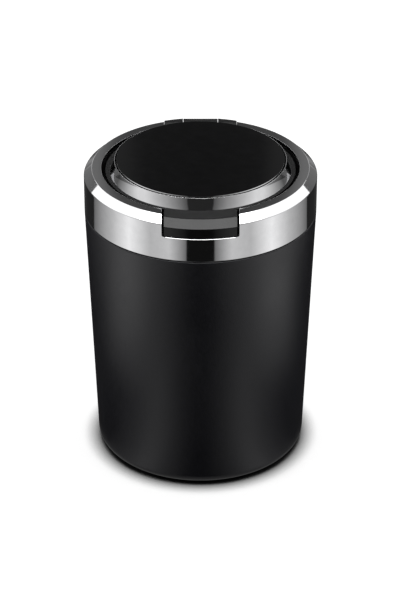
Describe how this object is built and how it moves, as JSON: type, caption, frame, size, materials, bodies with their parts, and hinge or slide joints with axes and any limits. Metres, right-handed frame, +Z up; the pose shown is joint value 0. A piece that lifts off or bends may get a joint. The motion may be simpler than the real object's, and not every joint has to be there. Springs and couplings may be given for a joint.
{
  "type": "car ashtray",
  "caption": "Tapered cup ashtray for a car cup holder, with a chrome twist-off collar, a hinged lid with a front lift tab, a snuffer plate and a lift-out ash liner.",
  "frame": {"origin": "centre of the foot pad on the surface that the ashtray stands on", "axes": "+Z up along the axis of the cup, -Y towards the front, where the lid tab is, +X to the right as seen from the front"},
  "size_m": [0.076, 0.076, 0.1043],
  "materials": {
    "body_coat": "satin black powder coat with a fine grain",
    "chrome": "polished bright chrome",
    "gloss_black": "piano black",
    "satin_plastic": "satin black moulding",
    "black_plastic": "fine matt moulded texture",
    "stainless": "spun and brushed",
    "pin_steel": "drawn bright",
    "rubber": "matt",
    "silicone": "soft satin",
    "adhesive": "foam tape"
  },
  "bodies": {
    "cup": {"outer_cup": "body_coat", "foot_pad": "rubber", "neck_ring": "black_plastic", "ash_liner": "stainless"},
    "head": {"collar_ring": "chrome", "collar_core": "black_plastic", "head_gasket": "silicone", "snuffer_plate": "stainless", "hinge_pin": "pin_steel"},
    "lid": {"lid_shell": "satin_plastic", "lid_crown": "chrome", "lid_disc": "gloss_black", "disc_tape": "adhesive", "lid_cover": "black_plastic", "lid_seal": "silicone", "lid_screws": "pin_steel"}
  },
  "joints": [
    {"name": "head_turn", "type": "hinge", "parent": "cup", "child": "head", "pos_m": [0, 0, 0.0864], "axis": [0, 0, 1], "range_deg": [0, 45]},
    {"name": "lid_hinge", "type": "hinge", "parent": "head", "child": "lid", "pos_m": [0, 0.0336, 0.0989], "axis": [-1, 0, 0], "range_deg": [0, 95]}
  ]
}
